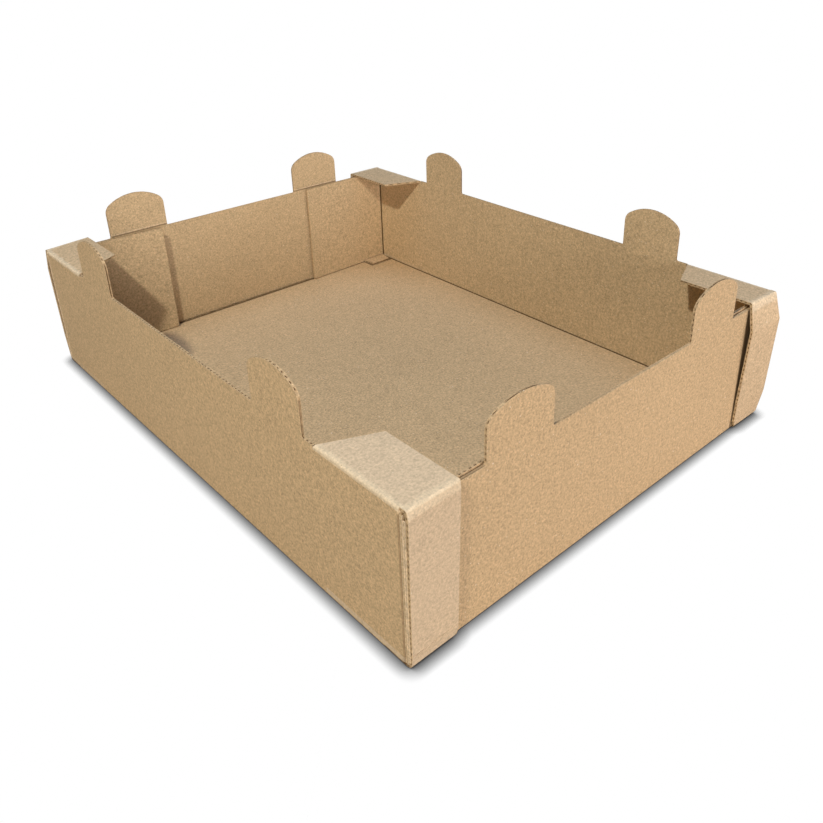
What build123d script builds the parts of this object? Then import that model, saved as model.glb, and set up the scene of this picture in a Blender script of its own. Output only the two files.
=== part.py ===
"""A stacking tray folded from one die-cut sheet of corrugated board.

The floor carries four walls. At both ends each long wall turns in as a corner flap behind the
short wall, and its top edge folds over the corner as a flat plate. From the plate a strap hangs
down outside the short wall. The tab at its foot is tucked through a slot in the floor fold and
lies on the floor inside, so the tray holds itself together with no glue. Each wall has two
stacking ears.

Millimetres. X runs across the long walls, Y across the short walls, Z up. The origin is the
middle of the tray on the surface it stands on.
"""

import os
from math import atan, degrees

from build123d import *

os.makedirs("parts", exist_ok=True)

# The board, and the air between two layers of it that lie against each other
board = 1.6
layer_gap = 0.3

# The tray over the outside of its walls
tray_width = 317.0
tray_depth = 412.0

# The height of the corner plates, and how far the top edges of the walls and flaps stay below them
plate_height = 93.0
long_wall_drop = 0.5
short_wall_headroom = 2.1
flap_headroom = 1.2

# The short walls end just short of the outside of the long walls
short_wall_setback = 0.5

# Folds are round outside and pinched along a scored line inside
fold_round = 0.9 * board
score_size = 0.6

# Stacking ears: width, distance from the corner, rise over the edge of the wall, and the part of
# that rise that is the arch of their tops
long_ear_width = 45.0
long_ear_start = 73.4
long_ear = (32.0, 8.5)
short_ear_width = 46.0
short_ear_start = 51.0
short_ear = (32.2, 8.5)
blunt_ear = (29.6, 6.5)
ear_shoulder_round = 8.0
ear_foot_round = 1.5

# The ears of the back wall stand a little off their places
back_ear_shift = -2.0

# One ear was bent over once, which left a crease across it a little over the edge of the wall
ear_crease_rise = 3.2
crease_size = 0.4

# Corner flaps, folded in from the ends of the long walls
flap_length = 88.0
flap_foot_gap = 0.7
flap_corner_round = 2.0

# How far the free edge of each flap springs off its short wall, in the order of at_four_corners
flap_springs = (1.2, 1.6, 5.0, 2.6)

# Corner plates, folded in from the tops of the long walls
plate_reach = 32.0
plate_fold_length = 64.0
plate_edge_length = 49.5
plate_cut_gap = 0.4

# Straps, folded down from the plates, with their edges narrowing to the foot
strap_setback = 0.8
strap_narrowing_drop = 3.6
strap_foot_reach = 30.0
strap_chamfer_height = 5.2
strap_shoulder = 1.9

# How far the outer face of a strap stands off its wall, at the fold of the plate, at an upper kink
# and at a lower one: along the strap's outer edge, then along its inner edge
snug_stand_offs = ((2.6, 3.6, 2.6), (2.4, 2.8, 2.4))
bulged_stand_offs = ((1.9, 7.2, 5.2), (1.9, 5.4, 2.4))

# How far an upper kink is below the plate, and a lower one above the floor
snug_kinks = (5.0, 8.5)
bulged_kinks = (17.5, 20.0)
kink_rounds = (5.0, 40.0)

# A bulging strap lifts the free edge of its plate
plate_lift = 1.8

# Which straps bulge and which lie snug, in the order of at_four_corners
strap_fits = ("snug", "bulged", "bulged", "snug")

# Tabs at the feet of the straps, and the slots that they go through
tab_start = 3.0
tab_width = 23.5
tab_fold_round = 2.1
tab_reach = 13.0
tab_taper = 2.6
slot_depth = 3.6
slot_clearance = 0.5

half_width = tray_width / 2
half_depth = tray_depth / 2
long_ear_middle = half_depth - long_ear_start - long_ear_width / 2
short_ear_middle = half_width - short_ear_start - short_ear_width / 2

long_wall_height = plate_height - long_wall_drop
plate_underside = plate_height - board
short_wall_height = plate_underside - short_wall_headroom
flap_height = plate_underside - flap_headroom

# Layers at a short wall, measured inwards from the outside of that wall
strap_outside = -layer_gap - board
flap_outside = board + layer_gap
flap_inside = flap_outside + board
tab_end = flap_inside + tab_reach

# The tab lies just clear of the floor, and its slot cuts through the floor fold
tab_underside = board + layer_gap
tab_side = tab_start + tab_width
slot_height = tab_underside + board + slot_clearance


def wall_face(plane, length, height, ear_width, ear_places, ears, plate_length=0):
    """A wall with its two ears, standing on the plane's own X axis.

    Its ends stay lower over the length of a plate, which folds over from there.
    """
    with BuildSketch(plane) as face:
        with Locations((0, height / 2)):
            Rectangle(length, height)
        for middle, (rise, arch) in zip(ear_places, ears):
            left, right = middle - ear_width / 2, middle + ear_width / 2
            shoulder = height + rise - arch
            with BuildLine():
                Polyline((left, shoulder), (left, 0), (right, 0), (right, shoulder))
                ThreePointArc((right, shoulder), (middle, height + rise), (left, shoulder))
            make_face()
        above_wall = face.vertices().filter_by(lambda vertex: vertex.Y > height + board)
        fillet(above_wall, ear_shoulder_round)
        wall_top = face.vertices().filter_by_position(Axis.Y, height - board, height + board)
        fillet(wall_top.sort_by(Axis.X)[1:-1], ear_foot_round)
        if plate_length:
            with GridLocations(length, 0, 2, 1):
                with Locations((0, plate_underside)):
                    Rectangle(
                        2 * plate_length, 2 * board, align=(Align.CENTER, Align.MIN), mode=Mode.SUBTRACT
                    )
    return face.sketch


def strap_section(inset, stand_offs, kinks, start=flap_outside, lift=0):
    """The strap cut across, at a distance from the outside of the long wall.

    The line that is thickened is the outer face of the board: over the plate from the start, down
    outside the short wall, and back in through the slot as the underside of the tab.
    """
    at_fold, at_upper_kink, at_lower_kink = stand_offs
    upper_kink_drop, lower_kink_rise = kinks
    points = [
        (start, plate_height + lift),
        (-at_fold, plate_height + lift),
        (-at_upper_kink, plate_height - upper_kink_drop),
        (-at_lower_kink, lower_kink_rise),
        (strap_outside, 0),
        (slot_depth, tab_underside),
        (tab_end, tab_underside),
    ]
    radii = [fold_round, *kink_rounds, tab_fold_round, board]
    across = Plane((inset - half_width, -half_depth, 0), x_dir=(0, 1, 0), z_dir=(1, 0, 0))
    with BuildSketch(across) as section:
        with BuildLine():
            outer_face = FilletPolyline(*points, radius=radii)
            offset(outer_face, amount=board, side=Side.LEFT, closed=True, mode=Mode.REPLACE)
        make_face()
    return section.sketch


# What is cut off a strap: beside its narrowing edges, from the front, and beside its tab, from above
with BuildPart() as strap_waste:
    behind_tab = Plane((-half_width, -half_depth + tab_end, 0), x_dir=(1, 0, 0), z_dir=(0, -1, 0))
    with BuildSketch(behind_tab):
        with BuildLine():
            Polyline(
                (plate_reach, plate_height - strap_narrowing_drop),
                (strap_foot_reach, strap_chamfer_height),
                (tab_side, 0),
                (plate_reach, 0),
                close=True,
            )
        make_face()
        Rectangle(tab_start, strap_shoulder, align=Align.MIN)
    extrude(amount=tab_end + max(bulged_stand_offs[0]) + board)

    with BuildSketch(Plane((-half_width, -half_depth, 0))):
        with Locations((0, -layer_gap)):
            Rectangle(plate_reach, tab_end + layer_gap, align=Align.MIN)
        with BuildLine():
            Polyline(
                (tab_start, -layer_gap),
                (tab_side, -layer_gap),
                (tab_side, flap_inside),
                (tab_side - tab_taper, tab_end),
                (tab_start + tab_taper, tab_end),
                (tab_start, flap_inside),
                close=True,
            )
        make_face(mode=Mode.SUBTRACT)
    extrude(amount=slot_height)

# A strap that lies close to the short wall, creased across just above the slot
with BuildPart() as snug_strap:
    outer_stand_offs, inner_stand_offs = snug_stand_offs
    outer_edge = strap_section(strap_setback, outer_stand_offs, snug_kinks)
    inner_edge = strap_section(plate_reach, inner_stand_offs, snug_kinks)
    loft([outer_edge, inner_edge], ruled=True)
    add(strap_waste.part, mode=Mode.SUBTRACT)
    crease_stand_off = (outer_stand_offs[-1] + inner_stand_offs[-1]) / 2
    crease = Plane((-half_width, -half_depth - crease_stand_off, snug_kinks[-1]), z_dir=(1, 0, 0))
    with BuildSketch(crease):
        RegularPolygon(crease_size, 4)
    extrude(amount=plate_reach, mode=Mode.SUBTRACT)

# A corner flap, with its foot raised off the floor and notched over the tab
with BuildPart() as corner_flap:
    foot_height = board + flap_foot_gap
    with BuildSketch(Plane.XZ.offset(half_depth - flap_inside)) as flap_face:
        with Locations((-half_width + board, foot_height)):
            Rectangle(flap_length - board, flap_height - foot_height, align=Align.MIN)
        fillet(flap_face.vertices().group_by(Axis.X)[-1], flap_corner_round)
        with Locations((-half_width + tab_start - slot_clearance, 0)):
            Rectangle(tab_width + 2 * slot_clearance, slot_height, align=Align.MIN, mode=Mode.SUBTRACT)
    extrude(amount=board)


def plate_outline(reach):
    """A corner plate in plan, cut away at a slant towards the middle of the long wall."""
    slant = plate_fold_length - (plate_fold_length - plate_edge_length) * reach / plate_reach
    with BuildSketch(Plane((-half_width, -half_depth, plate_underside))) as outline:
        with BuildLine():
            Polyline(
                (0, flap_outside),
                (reach, flap_outside),
                (reach, slant),
                (0, plate_fold_length),
                close=True,
            )
        make_face()
    return outline.sketch


def folded_plate(reach):
    """A flat plate of that reach, with the round of its fold over the long wall."""
    with BuildPart() as plate:
        extrude(plate_outline(reach), amount=board)
        plate_fold = plate.edges().filter_by(Axis.Y).group_by(Axis.Z)[-1].sort_by(Axis.X)[0]
        fillet(plate_fold, fold_round)
    return plate.part


# A corner whose strap bulges out from the wall, more at its outer edge than at its inner one.
# Over the long wall its plate is flat, and from there it lifts towards its free edge.
with BuildPart() as bulged_corner:
    outer_stand_offs, inner_stand_offs = bulged_stand_offs
    extrude(strap_section(strap_setback, outer_stand_offs, bulged_kinks), amount=board - strap_setback)
    outer_edge = strap_section(board, outer_stand_offs, bulged_kinks, plate_fold_length)
    inner_edge = strap_section(plate_reach, inner_stand_offs, bulged_kinks, plate_fold_length, plate_lift)
    loft([outer_edge, inner_edge], ruled=True)
    add(strap_waste.part, mode=Mode.SUBTRACT)
    with BuildSketch(Plane((-half_width, -half_depth, plate_underside))):
        with BuildLine():
            Polyline(
                (0, plate_fold_length),
                (plate_reach, plate_edge_length),
                (plate_reach, plate_fold_length),
                close=True,
            )
        make_face()
    extrude(amount=2 * board + plate_lift, mode=Mode.SUBTRACT)
    add(folded_plate(board))

# The slot for a tab, cut through the floor fold
with BuildPart() as tab_slot:
    with Locations((-half_width + tab_start - slot_clearance, -half_depth - board, 0)):
        Box(tab_width + 2 * slot_clearance, slot_depth + board, slot_height, align=Align.MIN)


def at_four_corners(piece):
    """A piece of one corner and its mirror images at the other three."""
    pair = [piece, mirror(piece, about=Plane.YZ, mode=Mode.PRIVATE)]
    return pair + [mirror(side, about=Plane.XZ, mode=Mode.PRIVATE) for side in pair]


def sprung(piece, distance):
    """A corner flap turned about its fold, until its free edge is that far off its short wall."""
    fold = Axis((-half_width + board, -half_depth + flap_outside, 0), (0, 0, 1))
    return piece.rotate(fold, degrees(atan(distance / flap_length)))


# The whole sheet, folded up
with BuildPart() as tray:
    Box(tray_width, tray_depth, board, align=(Align.CENTER, Align.CENTER, Align.MIN))

    long_wall = wall_face(
        Plane.YZ.offset(half_width),
        tray_depth - 2 * flap_outside,
        long_wall_height,
        long_ear_width,
        (-long_ear_middle, long_ear_middle),
        (long_ear, long_ear),
        plate_fold_length - flap_outside + plate_cut_gap,
    )
    extrude(long_wall, amount=-board)
    mirror(about=Plane.YZ)

    for short_wall_plane, ears, ear_shift, inward in (
        (Plane.XZ.offset(half_depth), (blunt_ear, short_ear), 0, -board),
        (Plane.XZ.offset(-half_depth), (short_ear, short_ear), back_ear_shift, board),
    ):
        short_wall = wall_face(
            short_wall_plane,
            tray_width - 2 * short_wall_setback,
            short_wall_height,
            short_ear_width,
            (ear_shift - short_ear_middle, ear_shift + short_ear_middle),
            ears,
        )
        extrude(short_wall, amount=inward)

    fillet(tray.edges().group_by(Axis.Z)[0], fold_round)

    for corner, spring in enumerate(flap_springs):
        add(at_four_corners(sprung(corner_flap.part, spring))[corner])
    upright = tray.edges().filter_by(Axis.Z).filter_by(lambda edge: edge.length > flap_height / 2)
    fillet(upright.group_by(lambda edge: abs(edge.center().X))[-1], fold_round)

    add(at_four_corners(tab_slot.part), mode=Mode.SUBTRACT)

    for corner, fit in enumerate(strap_fits):
        if fit == "snug":
            add(at_four_corners(folded_plate(plate_reach))[corner])
            add(at_four_corners(snug_strap.part)[corner])
    for corner, fit in enumerate(strap_fits):
        if fit == "bulged":
            add(at_four_corners(bulged_corner.part)[corner])

    # Scored lines inside the floor folds and inside the folds of the corner flaps
    for side in (-1, 1):
        long_fold = Plane((side * (half_width - board), -half_depth + board, board), z_dir=(0, 1, 0))
        with BuildSketch(long_fold):
            RegularPolygon(score_size, 4)
        extrude(amount=tray_depth - 2 * board, mode=Mode.SUBTRACT)
        short_fold = Plane((-half_width + board, side * (half_depth - board), board), z_dir=(1, 0, 0))
        with BuildSketch(short_fold):
            RegularPolygon(score_size, 4)
        extrude(amount=tray_width - 2 * board, mode=Mode.SUBTRACT)
    with BuildSketch(Plane.XY.offset(board)):
        with GridLocations(tray_width - 2 * board, tray_depth - 2 * flap_inside, 2, 2):
            RegularPolygon(score_size, 4)
    extrude(amount=flap_height - board, mode=Mode.SUBTRACT)

    # The crease across the bent ear
    crease_start = (
        short_ear_middle + back_ear_shift - short_ear_width / 2,
        half_depth - board,
        short_wall_height + ear_crease_rise,
    )
    with BuildSketch(Plane(crease_start, z_dir=(1, 0, 0))):
        RegularPolygon(crease_size, 4)
    extrude(amount=short_ear_width, mode=Mode.SUBTRACT)

tray.part.label = "tray"
export_step(tray.part, "parts/tray.step")
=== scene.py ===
"""Looks of a tray folded from one sheet of corrugated board: paper, cut edges, folds, light."""

import bpy
import numpy as np
from mathutils import Matrix, Vector


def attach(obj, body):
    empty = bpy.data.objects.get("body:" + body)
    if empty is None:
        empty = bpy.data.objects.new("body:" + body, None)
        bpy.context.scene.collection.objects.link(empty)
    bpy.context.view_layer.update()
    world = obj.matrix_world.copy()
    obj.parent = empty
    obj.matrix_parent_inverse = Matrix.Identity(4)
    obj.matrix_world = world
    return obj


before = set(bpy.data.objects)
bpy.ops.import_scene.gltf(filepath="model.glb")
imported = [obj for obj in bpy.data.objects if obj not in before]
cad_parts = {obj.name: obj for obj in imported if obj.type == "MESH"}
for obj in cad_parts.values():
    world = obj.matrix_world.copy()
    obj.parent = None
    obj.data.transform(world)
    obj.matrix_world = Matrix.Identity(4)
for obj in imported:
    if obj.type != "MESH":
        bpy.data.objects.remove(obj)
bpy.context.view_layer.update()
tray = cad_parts["tray"]
scene = bpy.context.scene
scene.view_settings.view_transform = "Standard"


# The camera stands over the front left corner, a little over half a metre from it, and looks
# across the tray to its back right corner. It was fitted to the corners of the tray.
eye = Vector((-0.32675, -0.41910, 0.31443))
heading, dip, tilt = np.radians((42.83, 26.06, 0.65))
focal_length, picture_width = 819.8, 823.0
principal_point = (450.4, 316.5)

forward = Vector((np.sin(heading) * np.cos(dip), np.cos(heading) * np.cos(dip), -np.sin(dip)))
level = Vector((np.cos(heading), -np.sin(heading), 0))
down = forward.cross(level)
picture_right = np.cos(tilt) * level + np.sin(tilt) * down
picture_down = np.cos(tilt) * down - np.sin(tilt) * level

camera_data = bpy.data.cameras.new("camera")
camera_data.sensor_width = 36
camera_data.lens = 36 * focal_length / picture_width
camera_data.shift_x = 0.5 - principal_point[0] / picture_width
camera_data.shift_y = principal_point[1] / picture_width - 0.5
camera_data.clip_start, camera_data.clip_end = 0.01, 50
camera = bpy.data.objects.new("camera", camera_data)
camera.matrix_world = Matrix.Translation(eye) @ Matrix(
    (picture_right, -picture_down, -forward)
).transposed().to_4x4()
scene.collection.objects.link(camera)
scene.camera = camera


# The studio: a white floor that goes on into a white backdrop, a small clear lamp up at the left, a
# soft one low in front, a wide warm light from low at the front left and a wide cool one from the
# ceiling. The colour of each light is how bright it makes a white sheet that faces it.
floor_size = 12.0
floor_colour = (0.45, 0.42, 0.36, 1)
shadow_reach, shadow_depth, shadow_samples = 0.0082, 2.35, 16
room_light, white = (0.0, 0.0, 0.0, 1.0), (1.0, 1.0, 1.0, 1.0)
wide_lights = (
    ("left", (0.36, 0.90, -0.15), 25.0, (0.49, 0.455, 0.43)),
    ("ceiling", (0.0, 0.0, -1.0), 50.0, (0.25, 0.31, 0.415)),
)
lamps = (
    ("key", (-0.76, -0.40, 1.08), 0.055, (0.60, 0.57, 0.485)),
    ("front", (0.30, -0.85, 0.13), 0.40, (0.26, 0.235, 0.235)),
)
lamp_aim = (0.0, 0.0, 0.05)


def add_node(tree, kind, inputs=(), **settings):
    """A node in the tree, with its settings, and each input set to a value or joined to a socket."""
    made = tree.nodes.new(kind)
    for name, value in settings.items():
        setattr(made, name, value)
    for key, value in dict(inputs).items():
        if isinstance(value, bpy.types.NodeSocket):
            tree.links.new(value, made.inputs[key])
        else:
            made.inputs[key].default_value = value
    return made


def add_math(tree, operation, *values):
    """The value that a Math node gives for these values or sockets."""
    return add_node(tree, "ShaderNodeMath", enumerate(values), operation=operation).outputs[0]


def seen_directly(tree):
    """1 for rays from the camera, also by way of a mirror or glass, and 0 for rays of light."""
    rays = add_node(tree, "ShaderNodeLightPath").outputs
    seen = add_math(tree, "MAXIMUM", rays["Is Camera Ray"], rays["Is Glossy Ray"])
    return add_math(tree, "MAXIMUM", seen, rays["Is Transmission Ray"])


for name, direction, softness, colour in wide_lights:
    light_data = bpy.data.lights.new(name, "SUN")
    light_data.color = [channel / max(colour) for channel in colour]
    light_data.energy = np.pi * max(colour)
    light_data.angle = np.radians(softness)
    light = bpy.data.objects.new(name, light_data)
    light.rotation_euler = Vector(direction).to_track_quat("-Z", "Y").to_euler()
    scene.collection.objects.link(light)

for name, lamp_place, size, colour in lamps:
    light_data = bpy.data.lights.new(name, "AREA")
    light_data.size = size
    aim = Vector(lamp_aim) - Vector(lamp_place)
    light_data.color = [channel / max(colour) for channel in colour]
    light_data.energy = np.pi**2 * aim.length_squared * max(colour)
    light = bpy.data.objects.new(name, light_data)
    turned = aim.to_track_quat("-Z", "Y").to_matrix().to_4x4()
    light.matrix_world = Matrix.Translation(lamp_place) @ turned
    scene.collection.objects.link(light)

world = bpy.data.worlds.new("room")
world.use_nodes = True
scene.world = world
room = world.node_tree
room.nodes.clear()
even_light = add_node(room, "ShaderNodeBackground", {"Color": room_light, "Strength": 1.0})
white_wall = add_node(room, "ShaderNodeBackground", {"Color": white, "Strength": 1.0})
either = add_node(
    room,
    "ShaderNodeMixShader",
    {0: seen_directly(room), 1: even_light.outputs[0], 2: white_wall.outputs[0]},
)
add_node(room, "ShaderNodeOutputWorld", {"Surface": either.outputs[0]})

floor_mesh = bpy.data.meshes.new("floor")
corners = np.array([(-1, -1, 0), (1, -1, 0), (1, 1, 0), (-1, 1, 0)]) * floor_size / 2
floor_mesh.from_pydata(corners.tolist(), [], [(0, 1, 2, 3)])
floor = bpy.data.objects.new("floor", floor_mesh)
scene.collection.objects.link(floor)
floor_paper = bpy.data.materials.new("floor_paper")
floor_paper.use_nodes = True
tree = floor_paper.node_tree
tree.nodes.clear()
shade = add_node(
    tree, "ShaderNodeAmbientOcclusion", {"Distance": shadow_reach}, samples=shadow_samples
)
shadow = add_math(tree, "POWER", shade.outputs["AO"], shadow_depth)
lit = add_node(tree, "ShaderNodeEmission", {"Color": white, "Strength": shadow})
plain = add_node(tree, "ShaderNodeBsdfDiffuse", {"Color": floor_colour})
either = add_node(
    tree, "ShaderNodeMixShader", {0: seen_directly(tree), 1: plain.outputs[0], 2: lit.outputs[0]}
)
add_node(tree, "ShaderNodeOutputMaterial", {"Surface": either.outputs[0]})
floor_mesh.materials.append(floor_paper)


# The tray itself: brown kraft paper on both faces of an E flute board, unbleached and uncoated,
# with short fibres, dark and pale flecks, and the flutes just showing through. Where the board is
# folded, crushing leaves its outer paper pale and wavy, and the scored lines inside get painted
# shade. The plates, straps and tabs get painted highlight.
kraft_colour = (0.58, 0.41, 0.235, 1)
# Paper pale from crushing along the plates' folds, and the painted highlight on the back ears' lips.
crushed_and_highlight_colour = (0.72, 0.57, 0.39, 1)
# Painted highlight: the paler, cooler tone of the plates, straps and tabs.
plate_highlight_colour = (0.65, 0.50, 0.34, 1)
inside_colour = (0.585, 0.437, 0.265, 1)
# Painted shade in folds and gaps, and the colour of the dark mark at the bulged straps' feet.
shade_and_mark_colour = (0.115, 0.066, 0.028, 1)
flute_pitch, flute_wave = 0.0033, 0.02
kraft_roughness, kraft_shine = 0.85, 0.2
bump_distance, bump_strength = 0.0003, 0.2
plate_calm = 0.4
noise_roughness = 0.6
fleck_shift, fleck_edge = (1.3, 0.2), (0.5, 1.2)


def add_group(name, inputs, outputs):
    """An empty node group with these named inputs and outputs, its input node and output node."""
    group = bpy.data.node_groups.new(name, "ShaderNodeTree")
    for direction, sockets in (("INPUT", inputs), ("OUTPUT", outputs)):
        for socket, kind in sockets:
            group.interface.new_socket(socket, in_out=direction, socket_type=f"NodeSocket{kind}")
    return group, group.nodes.new("NodeGroupInput"), group.nodes.new("NodeGroupOutput")


def add_mix(tree, share, colour_a, colour_b):
    """The colour that lies by that share between two colours."""
    mixed = add_node(tree, "ShaderNodeMix", {0: share, 6: colour_a, 7: colour_b}, data_type="RGBA")
    return mixed.outputs[2]


def add_noise(tree, place, scale, detail):
    """A cloudy value about one half, with features of one metre over the scale."""
    cloud = add_node(
        tree,
        "ShaderNodeTexNoise",
        {"Vector": place, "Scale": scale, "Detail": detail, "Roughness": noise_roughness},
    )
    return cloud.outputs["Fac"]


def fading(tree, value, start, end):
    """A mask that is 1 up to the start and fades evenly to 0 at the end."""
    faded = add_node(
        tree,
        "ShaderNodeMapRange",
        {"Value": value, "From Min": start, "From Max": end, "To Min": 1.0, "To Max": 0.0},
    )
    return faded.outputs[0]


# Paper fibres: five sizes of cloudy noise make the tone, and the few cells of a Voronoi pattern
# that a threshold on their random colour picks become flecks around the cell's own point. Each
# size of fleck has its pattern moved, so that the flecks of two sizes don't fall together.
paper, given, made = add_group(
    "paper_fibres",
    [("Position", "Vector"), ("Colour", "Color")],
    [("Colour", "Color"), ("Height", "Float")],
)
place = given.outputs["Position"]
tone = 1.0
for scale, detail, share in (
    (14.0, 2.0, 0.12),
    (150.0, 2.0, 0.14),
    (340.0, 1.0, 0.34),
    (680.0, 1.0, 0.72),
    (1350.0, 1.0, 0.80),
):
    spread = add_math(paper, "MULTIPLY_ADD", add_noise(paper, place, scale, detail), share, -share / 2)
    tone = add_math(paper, "ADD", tone, spread)
colour = add_node(
    paper, "ShaderNodeVectorMath", {0: given.outputs["Colour"], "Scale": tone}, operation="SCALE"
).outputs[0]
for scale, radius, rarity, fleck_colour in (
    (240.0, 0.10, 0.975, (0.24, 0.155, 0.085, 1)),
    (520.0, 0.17, 0.945, (0.26, 0.17, 0.09, 1)),
    (280.0, 0.12, 0.955, (0.90, 0.79, 0.62, 1)),
    (560.0, 0.18, 0.935, (0.88, 0.75, 0.56, 1)),
):
    shifted = add_node(paper, "ShaderNodeVectorMath", {0: place, 1: (scale, *fleck_shift)})
    cells = add_node(
        paper, "ShaderNodeTexVoronoi", {"Vector": shifted.outputs[0], "Scale": scale, "Randomness": 1.0}
    )
    channels = add_node(paper, "ShaderNodeSeparateColor", {0: cells.outputs["Color"]})
    picked = add_math(paper, "GREATER_THAN", channels.outputs[0], rarity)
    near = fading(paper, cells.outputs["Distance"], *(radius * edge for edge in fleck_edge))
    mask = add_math(paper, "MULTIPLY", picked, near)
    colour = add_mix(paper, mask, colour, fleck_colour)
paper.links.new(colour, made.inputs["Colour"])
paper.links.new(tone, made.inputs["Height"])


# Where the folds are: masks by the distance from fold lines, and by limits across, along and up,
# all in metres from the middle of the tray, which the position is folded onto by its absolute
# value. A fold line is given by its place across and its height, and a slow noise moves it a bit.
wall_inside, flap_inside, floor_top = 0.1569, 0.2025, 0.0016
wall_fold, strap_fold = (0.1578, 0.0925), (0.2080, 0.0920)
plate_x, plate_y, plate_z = 0.1260, 0.1415, 0.0908
strap_x, strap_back, strap_outside = 0.1262, 0.2064, 0.2068
wander_scale, wander_width = 110.0, 0.0050

folds, given, made = add_group(
    "fold_masks",
    [("Position", "Vector")],
    [(mask, "Float") for mask in ("Inside", "Highlight", "CrushedAndHighlight", "ShadeAndMarks", "Wave")],
)
place = given.outputs["Position"]
signed_x, signed_y, z = add_node(folds, "ShaderNodeSeparateXYZ", {0: place}).outputs
x, y = (add_math(folds, "ABSOLUTE", signed) for signed in (signed_x, signed_y))
cloud = add_noise(folds, place, wander_scale, 2.0)
wander = add_math(folds, "MULTIPLY_ADD", cloud, wander_width, -wander_width / 2)


def from_line(across, line):
    """The distance from a level fold line, which is given by its place across and its height."""
    aside = add_math(folds, "SUBTRACT", across, line[0])
    above = add_math(folds, "SUBTRACT", z, line[1])
    squares = add_math(folds, "MULTIPLY_ADD", aside, aside, add_math(folds, "MULTIPLY", above, above))
    return add_math(folds, "SQRT", squares)


def beyond(value, limit):
    """1 where the value is over the limit, otherwise 0."""
    return add_math(folds, "GREATER_THAN", value, limit)


def all_of(mask, *others):
    """The product of masks, which is 1 only where all of them are."""
    for other in others:
        mask = add_math(folds, "MULTIPLY", mask, other)
    return mask


def any_of(mask, *others):
    """The highest of masks, which is 1 where any of them is."""
    for other in others:
        mask = add_math(folds, "MAXIMUM", mask, other)
    return mask


def in_limits(*limits):
    """A mask by limits: a value, what it has to be over, and where it starts and ends to fade."""
    masks = []
    for value, lowest, fade in limits:
        if lowest is not None:
            masks.append(beyond(value, lowest))
        if fade is not None:
            masks.append(fading(folds, value, *fade))
    return all_of(*masks)


# Pale places. Crushing leaves the outer paper pale along the folds of the plates. At the foot of
# the back wall's ears a pale line is painted highlight. Plates, straps and tabs get painted highlight
# all over, paler and cooler, and most so at the nearest corner.
strap_paleness, ear_lip_highlight = 0.9, 0.6
nearest_corners, farthest_paleness = (-0.30, 0.0), 0.3
ear_crease_height, ear_lip_height, ear_crease_fade = 0.0908, 0.0919, (0.0003, 0.0007)

from_wall_fold = add_math(folds, "ADD", from_line(x, wall_fold), wander)
from_strap_fold = add_math(folds, "ADD", from_line(y, strap_fold), wander)
foot_of_ear = in_limits((x, 0.0595, (0.1090, 0.1091)), (signed_y, 0.2030, None))
# At the foot of the back wall's ears: a dark line of painted shade, and a pale line of painted
# highlight on the lip just above it.
ear_crease, ear_lip = (
    all_of(foot_of_ear, fading(folds, add_math(folds, "ABSOLUTE", above), *ear_crease_fade))
    for above in (
        add_math(folds, "SUBTRACT", z, height) for height in (ear_crease_height, ear_lip_height)
    )
)
# Pale from crushing along the plates' folds, and painted highlight on the ears' lips.
crushed_and_highlight = any_of(
    in_limits((y, plate_y, None), (z, 0.0905, None), (from_wall_fold, None, (0.0012, 0.0030))),
    in_limits((x, strap_x, None), (from_strap_fold, None, (0.0022, 0.0048))),
    all_of(ear_lip, ear_lip_highlight),
)
folds.links.new(crushed_and_highlight, made.inputs["CrushedAndHighlight"])

# Painted highlight on plates and tabs, a little less on straps, and most at the nearest corner.
plate_or_tab = any_of(beyond(z, plate_z), in_limits((z, 0.00175, (0.0050, 0.0051))))
on_plate = all_of(in_limits((x, plate_x, None), (y, plate_y, None)), plate_or_tab)
on_strap = all_of(beyond(y, strap_outside), strap_paleness)
nearest = fading(folds, add_math(folds, "ADD", signed_x, signed_y), *nearest_corners)
pale = add_math(folds, "MULTIPLY_ADD", nearest, 1 - farthest_paleness, farthest_paleness)
folds.links.new(all_of(any_of(on_plate, on_strap), pale), made.inputs["Highlight"])


# The insides of the walls, which are the faces near the outside of the tray that look back to its
# middle. They get a slightly paler, less saturated tone than the outsides.
by_walls_x, by_walls_y, looks_in = 0.1500, 0.1950, -0.5

normal = add_node(folds, "ShaderNodeNewGeometry").outputs["Normal"]
normal_x, normal_y, _ = add_node(folds, "ShaderNodeSeparateXYZ", {0: normal}).outputs
sideways = add_math(folds, "MULTIPLY", normal_x, add_math(folds, "SIGN", signed_x))
outwards = add_math(folds, "MULTIPLY", normal_y, add_math(folds, "SIGN", signed_y))
faces_in = add_math(folds, "LESS_THAN", outwards, looks_in)
inside = any_of(
    all_of(beyond(y, by_walls_y), faces_in),
    all_of(beyond(x, by_walls_x), add_math(folds, "LESS_THAN", sideways, looks_in)),
)
folds.links.new(inside, made.inputs["Inside"])


# Dark places. Most are painted shade: the lines inside the folds of the floor and the flaps, the
# gaps under the flaps and behind the bulged straps, the grooves at the ends of the short walls, a
# painted shadow on the floor round the tabs, and the creases of the back ears. The inner ends of the
# bulged straps' feet get a dark mark. A share says how dark.
upright_place = add_node(folds, "ShaderNodeCombineXYZ", {0: x, 1: y}).outputs[0]
from_upright = add_node(
    folds,
    "ShaderNodeVectorMath",
    {0: upright_place, 1: (wall_inside, flap_inside, 0)},
    operation="DISTANCE",
).outputs["Value"]
floor_fold = fading(folds, from_line(x, (wall_inside, floor_top)), 0.0004, 0.0009)
flap_fold = in_limits((from_upright, None, (0.0006, 0.0011)), (z, None, (0.0900, 0.0905)))
before_flap = fading(folds, y, 0.2010, 0.2028)
under_flap = all_of(
    in_limits((z, 0.0008, (0.0017, 0.0026)), (y, None, (0.2046, 0.2048))),
    add_math(folds, "SUBTRACT", 1.0, before_flap),
)

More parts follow.
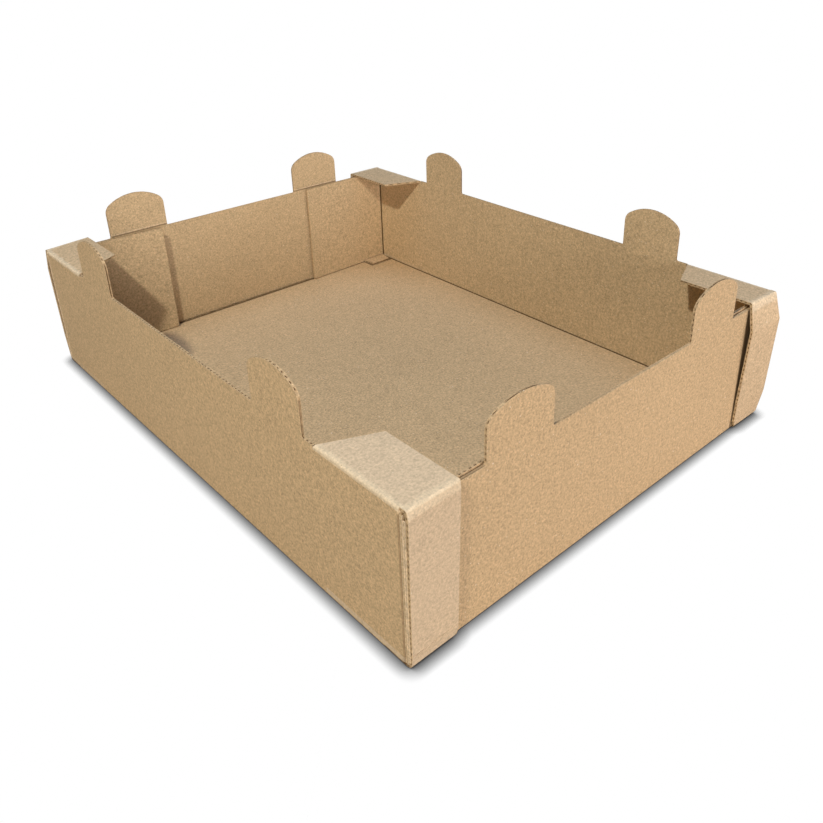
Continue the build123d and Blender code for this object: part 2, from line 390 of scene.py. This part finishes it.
bulged = add_math(folds, "LESS_THAN", add_math(folds, "MULTIPLY", signed_x, signed_y), 0)
behind_strap = any_of(
    all_of(beyond(y, strap_back), faces_in),
    in_limits((x, 0.1270, None), (y, 0.2056, (0.2062, 0.2063))),
)
strap_gap = all_of(in_limits((z, None, (0.0880, 0.0890))), behind_strap, bulged)
groove = in_limits((x, 0.1560, None), (y, 0.2029, (0.2043, 0.2044)), (z, None, (0.0885, 0.0890)))
by_tab = in_limits((x, 0.1310, None), (y, 0.1885, None), (z, None, (0.00170, 0.00175)))
neck = in_limits((x, 0.1263, (0.1290, 0.1294)), (y, 0.2054, None), (z, None, (0.0056, 0.0064)))
# Painted shade, and the dark mark at the bulged straps' feet.
painted_shade_and_marks = any_of(
    floor_fold,
    flap_fold,
    under_flap,
    all_of(strap_gap, 0.75),
    all_of(groove, 0.45),
    all_of(by_tab, 0.75),
    all_of(ear_crease, 0.65),
    all_of(neck, bulged, 0.7),
)
folds.links.new(painted_shade_and_marks, made.inputs["ShadeAndMarks"])


# The board's own material. The flutes lie across the tray in its floor and stand upright in the long
# walls, so that their wave runs along the tray.
phase = add_math(folds, "MULTIPLY", signed_y, 2 * np.pi / flute_pitch)
folds.links.new(add_math(folds, "SINE", phase), made.inputs["Wave"])

kraft = bpy.data.materials.new("kraft_board")
kraft.use_nodes = True
tree = kraft.node_tree
tree.nodes.clear()
place = add_node(tree, "ShaderNodeTexCoord").outputs["Object"]
wear_and_light = add_node(tree, "ShaderNodeGroup", {"Position": place}, node_tree=folds)
base = add_mix(tree, wear_and_light.outputs["Inside"], kraft_colour, inside_colour)
# Painted highlight on the plates, straps and tabs.
base = add_mix(tree, wear_and_light.outputs["Highlight"], base, plate_highlight_colour)
# Paper pale from crushing at the folds, and the painted highlight on the ears' lips.
base = add_mix(tree, wear_and_light.outputs["CrushedAndHighlight"], base, crushed_and_highlight_colour)
fibres = add_node(tree, "ShaderNodeGroup", {"Position": place, "Colour": base}, node_tree=paper)
# Under the painted highlight the grain is calmer.
calm = add_math(tree, "MULTIPLY", wear_and_light.outputs["Highlight"], plate_calm)
base = add_mix(tree, calm, fibres.outputs["Colour"], base)
# Painted shade in the folds and gaps, and the dark mark at the straps' feet.
base = add_mix(tree, wear_and_light.outputs["ShadeAndMarks"], base, shade_and_mark_colour)
height = add_math(tree, "MULTIPLY_ADD", wear_and_light.outputs["Wave"], flute_wave, fibres.outputs["Height"])
bump = add_node(
    tree,
    "ShaderNodeBump",
    {"Height": height, "Distance": bump_distance, "Strength": bump_strength},
)
surface = add_node(
    tree,
    "ShaderNodeBsdfPrincipled",
    {
        "Base Color": base,
        "Roughness": kraft_roughness,
        "Normal": bump.outputs[0],
        "Specular IOR Level": kraft_shine,
    },
)
add_node(tree, "ShaderNodeOutputMaterial", {"Surface": surface.outputs[0]})
tray.data.materials.clear()
tray.data.materials.append(kraft)


# Raw edges. The die cuts the board through, so along every edge that isn't a fold its two liners
# stand as pale lines with the fluted paper waving between them over hollows, whose dark tone is
# painted shade. Each strip here stands a little proud of the solid's plain edge. From here on all
# sizes are in millimetres.
millimetre = 0.001
board = 1.6
edge_stands_proud = 0.30
edge_root = -0.25
hollow_floor = 0.08
liner_thickness = 0.28
medium_thickness = 0.30
side_clearance, arch_clearance, inner_lean = 0.012, 0.05, 0.015
ragged_heights, medium_sinks, medium_narrows = (0.035, 0.02), 0.05, 0.02
liner_tone, pressed_tone = 0.8, 1.0
flute_drift = 0.004
finest_step, coarsest_step = 0.36, 1.3


def rounded(points, radii, steps=9):
    """Straight runs between the points, with each inner point replaced by an arc.

    The arc starts where the circle of that radius touches the run before the corner, and swings by
    the corner's turn: centre - radius * cos(swing) * inward + radius * sin(swing) * before.
    """
    points = np.asarray(points, float)
    runs = np.diff(points, axis=0)
    runs /= np.linalg.norm(runs, axis=1)[:, None]
    line = [points[:1]]
    for corner, radius, before, after in zip(points[1:-1], radii, runs[:-1], runs[1:]):
        turn = np.arccos(before @ after)
        inward = (after - (before @ after) * before) / np.sin(turn)
        centre = corner - radius * np.tan(turn / 2) * before + radius * inward
        swing = np.linspace(0, turn, steps)[:, None]
        line.append(centre + radius * (np.sin(swing) * before - np.cos(swing) * inward))
    line.append(points[-1:])
    return np.concatenate(line)


def unit(vectors):
    """The vectors of an array at length 1."""
    return vectors / np.linalg.norm(vectors, axis=-1, keepdims=True)


def cut_edge(path, across, flute, pressed=0.0):
    """Vertices, faces and tones of a closed strip along a raw edge.

    A path point, moved by u along the board's thickness and by h away from the board, is a vertex.
    A section has two liners, at u near plus and minus half the board, two hollows, and the fluted
    paper between them, whose u is swing * sin(phase), with phase = 2 pi * flute / pitch. Once in
    each wave the hollows are shut by 0.5 + 0.8 * sin(phase), within 0 and 1, where the cut has
    dragged the paper over them, and everywhere by how far the edge is pressed: there they are
    shallower and paler. The dark tone of the open hollows is painted shade. Sines of the phase that
    don't repeat with the flutes make the top ragged.
    The points are spaced by how fast the flute coordinate changes, so that each wave has enough
    of them.
    """
    length = np.linalg.norm(np.diff(path, axis=0), axis=1)
    pace = length / coarsest_step + np.abs(np.diff(flute)) / finest_step
    measure = np.concatenate([[0], np.cumsum(pace)])
    wanted = np.linspace(0, measure[-1], int(measure[-1]) + 2)

    def spread(values):
        return np.stack([np.interp(wanted, measure, column) for column in values.T], axis=1)

    middle, thickness_way = spread(path), unit(spread(across))
    along = unit(np.gradient(middle, axis=0))
    away = unit(np.cross(thickness_way, along))
    phase = spread(flute[:, None])[:, 0] * 2 * np.pi / (flute_pitch / millimetre)

    pressed = spread(np.broadcast_to(pressed, flute.shape)[:, None])[:, 0]
    shut = np.maximum(np.clip(0.5 + 0.8 * np.sin(phase), 0, 1), pressed)
    slow, fast = np.sin(2.7 * phase + 1.3 * np.sin(0.37 * phase)), np.sin(5.1 * phase)
    ragged = ragged_heights[0] * slow + ragged_heights[1] * fast

    # Half a section, from the outer liner's root to the middle of the fluted paper
    half, liner, thin = board / 2 - side_clearance, board / 2 - liner_thickness, medium_thickness / 2
    medium = (liner - thin - arch_clearance) * np.sin(phase)
    liner_top = edge_stands_proud + ragged
    medium_top = edge_stands_proud - medium_sinks + 0.5 * ragged[::-1]
    hollow = hollow_floor + (medium_top - hollow_floor) * shut
    pale = liner_tone + (pressed_tone - liner_tone) * pressed
    u = [-half, -half, -liner, -liner + inner_lean, medium - thin - medium_narrows, medium - thin]
    h = [edge_root, liner_top, liner_top, hollow, hollow, medium_top]
    # The tone of an open hollow is painted shade: dark where it is open, paler where it is shut.
    tones = [pale, pale, 0.95 * pale, 0.9 * pale * shut, 0.9 * pale * shut, 0.75 * pale]

    # The other half mirrors it: the fluted paper about its own middle, the liner about the board's
    u += [2 * medium - value for value in u[:3:-1]] + [-value for value in u[3::-1]]
    columns = u, h + h[::-1], tones + tones[::-1]
    ones = np.ones_like(phase)
    u, h, tones = (np.stack([value * ones for value in values], 1) for values in columns)
    section = u.shape[1]
    vertices = (
        middle[:, None] + u[..., None] * thickness_way[:, None] + h[..., None] * away[:, None]
    ).reshape(-1, 3)
    sections = len(middle)
    row, column = np.meshgrid(np.arange(sections - 1), np.arange(section), indexing="ij")
    following = (column + 1) % section
    quads = np.stack(
        [
            row * section + column,
            row * section + following,
            (row + 1) * section + following,
            (row + 1) * section + column,
        ],
        axis=-1,
    ).reshape(-1, 4)
    first = np.arange(section)[::-1]
    last = (sections - 1) * section + np.arange(section)
    return vertices, quads.tolist() + [first.tolist(), last.tolist()], tones.ravel()


def edge_piece(name, strips):
    """One object of several strips, with its tones as an attribute, riding with the tray."""
    vertices, faces, tones, start = [], [], [], 0
    for strip_vertices, strip_faces, strip_tones in strips:
        faces += [[index + start for index in face] for face in strip_faces]
        vertices.append(strip_vertices)
        tones.append(strip_tones)
        start += len(strip_vertices)
    mesh = bpy.data.meshes.new(name)
    mesh.from_pydata((np.concatenate(vertices) * millimetre).tolist(), [], faces)
    mesh.attributes.new("tone", "FLOAT", "POINT").data.foreach_set("value", np.concatenate(tones))
    mesh.materials.append(cut_board)
    piece = bpy.data.objects.new(name, mesh)
    scene.collection.objects.link(piece)
    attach(piece, "root")


# The cut board's own material: the tone attribute goes from the painted shade of a hollow over
# fluted paper to liner, and on to liner that is pressed pale.
cut_roughness, cut_shine = 0.9, 0.15

cut_board = bpy.data.materials.new("cut_board")
cut_board.use_nodes = True
tree = cut_board.node_tree
tree.nodes.clear()
tone_value = add_node(tree, "ShaderNodeAttribute", attribute_name="tone")
ramp = add_node(tree, "ShaderNodeValToRGB", {"Fac": tone_value.outputs["Fac"]})
# Tone 0 is the painted shade of an open hollow.
for index, (position, colour) in enumerate(
    (
        (0.0, (0.10, 0.055, 0.022, 1)),
        (liner_tone, (0.56, 0.405, 0.24, 1)),
        (0.4, (0.42, 0.29, 0.165, 1)),
        (pressed_tone, (0.78, 0.62, 0.44, 1)),
    )
):
    stop = ramp.color_ramp.elements[index] if index < 2 else ramp.color_ramp.elements.new(position)
    stop.position, stop.color = position, colour
place = add_node(tree, "ShaderNodeTexCoord").outputs["Object"]
fibres = add_node(
    tree,
    "ShaderNodeGroup",
    {"Position": place, "Colour": ramp.outputs["Color"]},
    node_tree=paper,
)
surface = add_node(
    tree,
    "ShaderNodeBsdfPrincipled",
    {
        "Base Color": fibres.outputs["Colour"],
        "Roughness": cut_roughness,
        "Specular IOR Level": cut_shine,
    },
)
add_node(tree, "ShaderNodeOutputMaterial", {"Surface": surface.outputs[0]})


# Tops of the walls with their ears. The flutes stand upright in the long walls, so these show a
# wave along the top; they lie level in the short walls, which show it on their upright edges. The
# ends of the short walls are pressed, and at the snug corners they spread out to the straps.
half_width, half_depth = 158.5, 206.0
long_wall_height, short_wall_height = 92.5, 89.3
long_edge_reach, short_edge_reach = 141.6, 158.0
long_ear_middles, long_ear_half = (-110.1, 110.1), 22.5
front_ear_middles, back_ear_middles, short_ear_half = (-84.5, 84.5), (-86.5, 82.5), 23.0
long_ear, short_ear, blunt_ear = (32.0, 8.5), (32.2, 8.5), (29.6, 6.5)
shoulder_round, foot_round, end_round = 8.0, 1.5, 0.4
short_wall_foot, end_width, end_pressing = 2.4, 0.3, 0.8
snug_corner_filler = ((157.88, 206.5, 4.0), (157.88, 206.95, 87.0))


def ear_outline(half, height, rise, arch):
    """(along, up) points over an ear, left to right, about its middle.

    The top is an arc through both shoulders, of radius (half^2 + arch^2) / (2 * arch). The rounds
    at the shoulders touch it from inside, and the rounds at the feet lead into the wall's edge.
    """
    radius = (half**2 + arch**2) / (2 * arch)
    centre = height + rise - radius
    side = half - shoulder_round
    shoulder = centre + np.sqrt((radius - shoulder_round) ** 2 - side**2)
    lean = np.arctan2(shoulder - centre, side)
    top = np.linspace(np.pi / 2, lean, 24)
    bend = np.linspace(lean, 0, 12)
    foot = np.linspace(np.pi, 1.5 * np.pi, 7)

    def arc(across, up, radius, angles):
        return (across, up) + radius * np.stack([np.cos(angles), np.sin(angles)], axis=1)

    right = np.concatenate(
        [
            arc(0, centre, radius, top),
            arc(side, shoulder, shoulder_round, bend),
            arc(half + foot_round, height + foot_round, foot_round, foot),
        ]
    )
    left = right[:0:-1] * (-1, 1)
    return np.concatenate([left, right])


def wall_outline(reach, height, ear_middles, ear_half, ears, foot=None):
    """(along, up) points over a wall's top, left to right, and down both its ends to the foot."""
    line = [[(-reach, height)]]
    for middle, (rise, arch) in zip(ear_middles, ears):
        line.append(ear_outline(ear_half, height, rise, arch) + (middle, 0))
    line.append([(reach, height)])
    line = np.concatenate(line)
    if foot is not None:
        turn = np.linspace(0, np.pi / 2, 5)[:, None]
        bend = end_round * np.concatenate([np.sin(turn) - 1, np.cos(turn) - 1], 1)
        end = np.concatenate([bend + (reach, height), [(reach, foot)]])
        line = np.concatenate([end[::-1] * (-1, 1), line[1:-1], end])
    return line


strips = []
for side in (-1, 1):
    line = wall_outline(
        long_edge_reach, long_wall_height, long_ear_middles, long_ear_half, (long_ear, long_ear)
    )
    along, up = line[::side].T if side < 0 else line.T
    path = np.stack([np.full_like(along, side * (half_width - board / 2)), along, up], 1)
    strips.append(cut_edge(path, np.tile([side, 0.0, 0.0], (len(path), 1)), along + flute_drift * up))
edge_piece("cut_edges_long_walls", strips)

strips = []
for side, ear_middles, ears in (
    (-1, front_ear_middles, (blunt_ear, short_ear)),
    (1, back_ear_middles, (short_ear, short_ear)),
):
    line = wall_outline(
        short_edge_reach, short_wall_height, ear_middles, short_ear_half, ears, short_wall_foot
    )
    along, up = line.T if side < 0 else line[::-1].T
    path = np.stack([along, np.full_like(along, side * (half_depth - board / 2)), up], 1)
    pressed = end_pressing * (abs(along) > short_edge_reach - end_width)
    across = np.tile([0.0, side, 0.0], (len(path), 1))
    strips.append(cut_edge(path, across, up + flute_drift * along, pressed))
for side in (-1, 1):
    path = np.array(snug_corner_filler) * (side, side, 1)
    across = np.tile([0.0, side, 0.0], (len(path), 1))
    strips.append(cut_edge(path, across, path[:, 2], pressed=1.0))
edge_piece("cut_edges_short_walls", strips)


# Corner plates, straps and tabs, one blank each: the plate folds in from the top of the long wall,
# the strap folds down from the plate, and the tab at its foot goes in through the slot. Here the
# outline of that blank is drawn flat, as inset from the long wall and run along the middle of
# the board, and then laid along the folded line.
plate_reach, plate_length, plate_edge = 32.0, 64.0, 49.5
plate_height, plate_lift, strap_clearance = 93.0, 1.8, 1.9
strap_edge, strap_foot, strap_foot_height = 0.8, 30.0, 5.2
tab_from, tab_to, tab_narrowing, tab_tip, shoulder_height = 3.0, 26.5, 2.6, 16.5, 1.9
tab_way_in, flap_layer = (3.6, 1.9), 3.5
fold_rounds = (1.44, 5.0, 40.0, 2.1, 1.6)
snug_outer, snug_inner, snug_kinks = (2.6, 3.6, 2.6), (2.4, 2.8, 2.4), (88.0, 8.5)
bulged_outer, bulged_inner, bulged_kinks = (1.9, 7.2, 5.2), (1.9, 5.4, 2.4), (75.5, 20.0)
cut_round, outline_step = 0.3, 0.2
plate_corner_inset, strap_side_depth = 1.2, 3.6


def folded_line(stand_offs, kinks, lift=0):
    """(inward, up) points along the middle of the board, from the plate's far end to the tab's tip.

    The outer face runs straight between its folds and kinks with rounded corners, and the middle
    lies half a board inside it.
    """
    stations = zip(stand_offs, (plate_height + lift, *kinks))
    line = rounded(
        [(plate_length, plate_height + lift)]
        + [(-stand_off, height) for stand_off, height in stations]
        + [(-strap_clearance, 0), tab_way_in, (tab_tip, tab_way_in[1])],
        fold_rounds,
    )
    along = unit(np.gradient(line, axis=0))
    return line + board / 2 * np.stack([-along[:, 1], along[:, 0]], axis=1)


def blank_strip(side_x, side_y, outer_line, inner_line, level_part):
    """The raw edge all round one plate, strap and tab.

    A point of the flat outline at (inset, run) goes to the folded lines at that run, shared
    between the line of the strap's outer edge and the line of its inner edge by the inset, from
    the end of the part that follows the outer line.
    """
    mean = (outer_line + inner_line) / 2
    run = np.concatenate([[0], np.cumsum(np.linalg.norm(np.diff(mean, axis=0), axis=1))])
    tab_start_run = run[-1] - (tab_tip - flap_layer)
    down_front = (run < run[-1] - tab_tip / 2) & (mean[:, 0] < 2 * board)
    down_front &= mean[:, 1] < plate_height - board

    def run_at(height):
        return np.interp(-height, -mean[down_front, 1], run[down_front])

    outline = rounded(
        [
            (plate_corner_inset, plate_corner_inset * (plate_length - plate_edge) / plate_reach),
            (plate_reach, plate_length - plate_edge),
            (plate_reach, run_at(plate_height - strap_side_depth)),
            (strap_foot, run_at(strap_foot_height)),
            (tab_to, run_at(board)),
            (tab_to, tab_start_run),
            (tab_to - tab_narrowing, run[-1]),
            (tab_from + tab_narrowing, run[-1]),
            (tab_from, tab_start_run),
            (tab_from, run_at(shoulder_height)),
            (strap_edge, run_at(shoulder_height)),
            (strap_edge, plate_length - strap_clearance),
        ],
        [cut_round] * 10,
    )
    steps = np.concatenate([[0], np.cumsum(np.linalg.norm(np.diff(outline, axis=0), axis=1))])
    fine = np.arange(0, steps[-1], outline_step)
    inset, at = (np.interp(fine, steps, column) for column in outline.T)
    share = np.clip((inset - level_part) / (plate_reach - level_part), 0, 1)
    inward, up = (
        (1 - share) * np.interp(at, run, outer) + share * np.interp(at, run, inner)
        for outer, inner in zip(outer_line.T, inner_line.T)
    )
    along = unit(np.gradient(mean, run, axis=0))
    normal = unit(np.stack([np.interp(at, run, along[:, 1]), -np.interp(at, run, along[:, 0])], 1))
    across = np.stack([np.zeros_like(at), normal[:, 0], normal[:, 1]], axis=1)
    return at_corner(side_x, side_y, np.stack([inset, inward, up], 1), across, at + flute_drift * inset)


def at_corner(side_x, side_y, points, across, flute):
    """A strip at one corner, from points given as inset, inward and up from its outside.

    Two of the corners are mirror images, and there the line runs the other way round.
    """
    placed = (points - (half_width, half_depth, 0)) * (-side_x, -side_y, 1)
    normals = across * (-side_x, -side_y, 1)
    order = slice(None, None, 1 if side_x * side_y > 0 else -1)
    return cut_edge(placed[order], normals[order], flute[order])


snug = folded_line(snug_outer, snug_kinks), folded_line(snug_inner, snug_kinks), strap_edge
bulged = (
    folded_line(bulged_outer, bulged_kinks),
    folded_line(bulged_inner, bulged_kinks, plate_lift),
    board,
)
edge_piece(
    "cut_edges_corner_plates",
    [
        blank_strip(-1, -1, *snug),
        blank_strip(1, -1, *bulged),
        blank_strip(-1, 1, *bulged),
        blank_strip(1, 1, *snug),
    ],
)


# Corner flaps: the ends of the long walls, folded in behind the short walls. Their flutes stand
# upright like those of the long walls. Each springs a little off its short wall at its free edge.
flap_corners = ((-1, -1, 1.2), (1, -1, 1.6), (-1, 1, 5.0), (1, 1, 2.6))
flap_top, flap_foot, flap_start, flap_end, flap_round = 90.2, 2.6, 0.6, 86.4, 2.0
flap_swing_arm = 88.0

strips = []
for side_x, side_y, spring in flap_corners:
    line = rounded([(flap_start, flap_top), (flap_end, flap_top), (flap_end, flap_foot)], [flap_round])
    angle = np.arctan(spring / flap_swing_arm)
    way, facing = np.array([np.cos(angle), np.sin(angle)]), np.array([-np.sin(angle), np.cos(angle)])
    flat = (board, strap_clearance) + line[:, :1] * way + board / 2 * facing
    across = np.tile([*(-facing), 0.0], (len(line), 1))
    points = np.concatenate([flat, line[:, 1:]], axis=1)
    strips.append(at_corner(side_x, side_y, points, across, line[:, 0] + flute_drift * line[:, 1]))
edge_piece("cut_edges_corner_flaps", strips)
